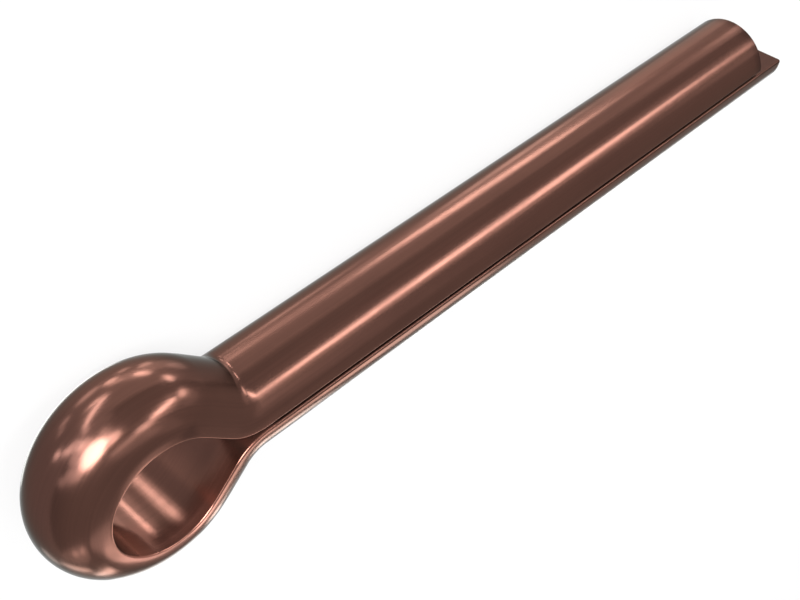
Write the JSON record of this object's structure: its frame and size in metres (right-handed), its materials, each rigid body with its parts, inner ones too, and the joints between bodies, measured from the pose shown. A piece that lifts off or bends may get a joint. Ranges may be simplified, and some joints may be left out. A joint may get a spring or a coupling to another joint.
{
  "type": "cotter pin",
  "caption": "Split cotter pin of half-round wire with an open eye, two closed legs of unequal length and a round shank.",
  "frame": {"origin": "on the shank's axis, where the straight legs end and the neck of the eye begins", "axes": "+X along the shank towards the tips of the legs, +Y from the longer leg to the shorter one across the split, +Z along the hole of the eye; the pin lies on its side with the eye flat"},
  "size_m": [0.0602, 0.0126, 0.0058],
  "materials": {
    "copper": "bright drawn copper, darkened to brown, with fine draw lines along the wire"
  },
  "bodies": {
    "root": {"cotter_pin": "copper"}
  },
  "joints": []
}
